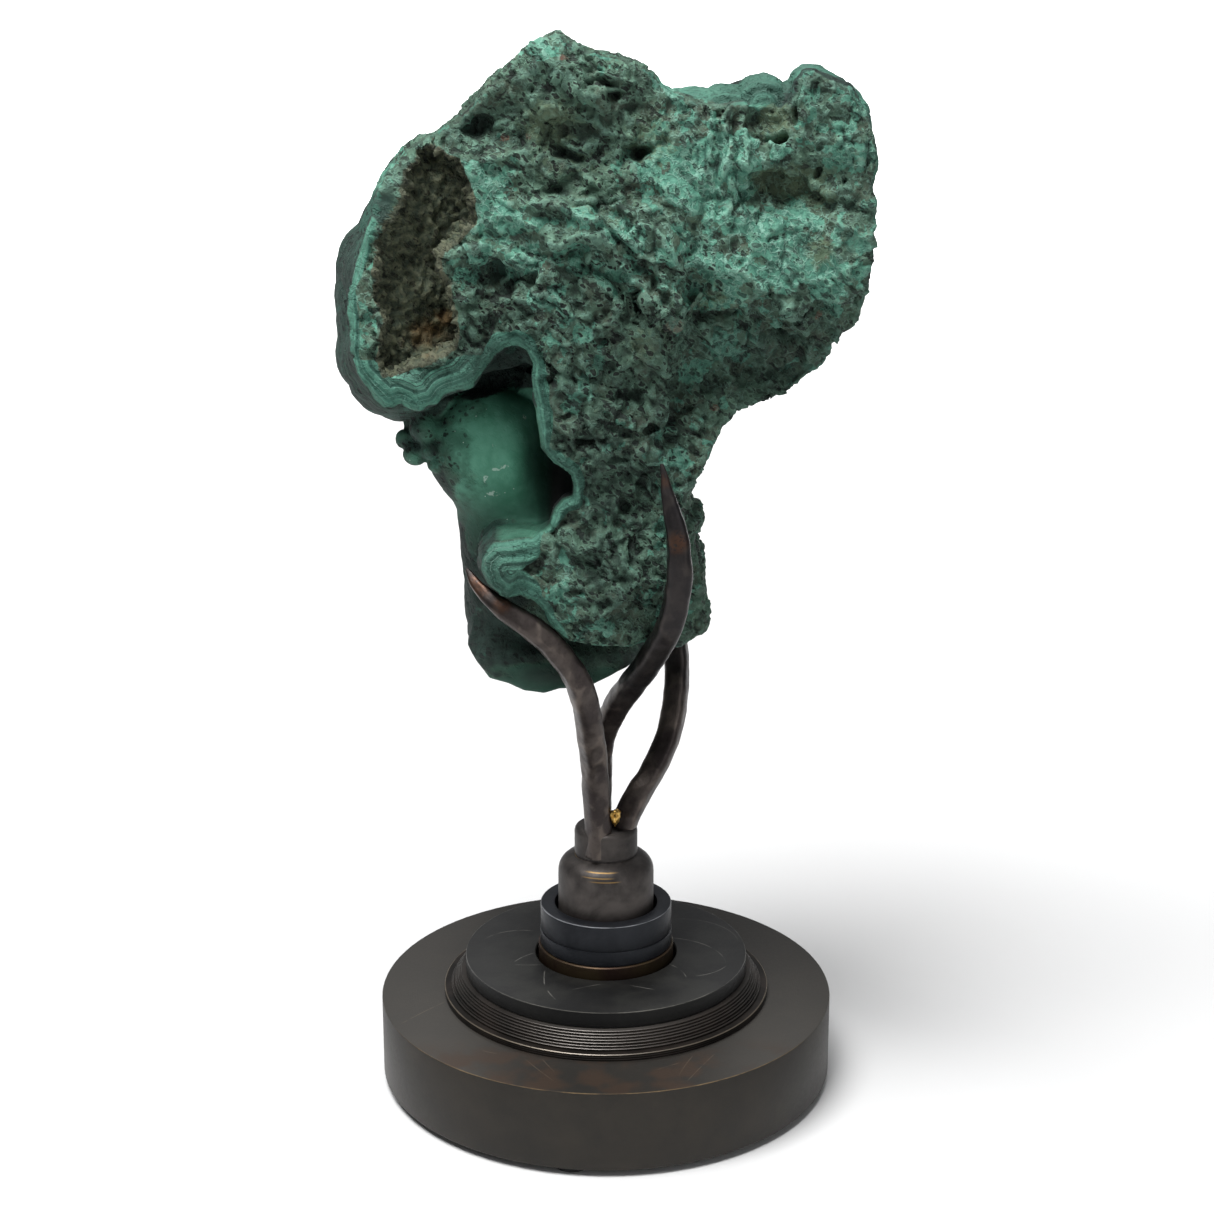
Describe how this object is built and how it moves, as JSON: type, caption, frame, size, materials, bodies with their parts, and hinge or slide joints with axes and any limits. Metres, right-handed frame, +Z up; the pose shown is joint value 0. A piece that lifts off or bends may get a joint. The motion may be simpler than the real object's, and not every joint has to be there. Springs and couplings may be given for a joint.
{
  "type": "malachite specimen on stand",
  "caption": "Rough malachite stone with a lined cavity and a smooth column in its notch, held by hammered prongs on a turned dark bronze pedestal.",
  "frame": {"origin": "on the axis of the round base, at the surface that its feet rest on", "axes": "+Z up along the pedestal's axis; -Y towards the stone's broken face, the front; +X to the right seen from the front"},
  "size_m": [0.1419, 0.13, 0.2975],
  "materials": {
    "malachite": "rough spongy break with banded, velvety and iron-brown areas",
    "hammered_bronze": "dark brown patina, hammered facets, worn warm at the tips",
    "turned_bronze": "turned, mottled gunmetal brown patina",
    "blackened_metal": "turned, blue-black, satin, finely scratched",
    "warm_bronze": "turned, brown-gold, satin",
    "base_bronze": "satin dark olive-brown patina with a rubbed edge",
    "rubber": "matt black bumper"
  },
  "bodies": {
    "root": {"malachite": "malachite", "prong_left": "hammered_bronze", "prong_tall": "hammered_bronze", "prong_right": "hammered_bronze", "post": "turned_bronze", "collar": "blackened_metal", "collar_foot": "warm_bronze", "upper_disc": "blackened_metal", "stepped_plate": "turned_bronze", "base_disc": "base_bronze", "foot_1": "rubber", "foot_2": "rubber", "foot_3": "rubber", "foot_4": "rubber"}
  },
  "joints": []
}
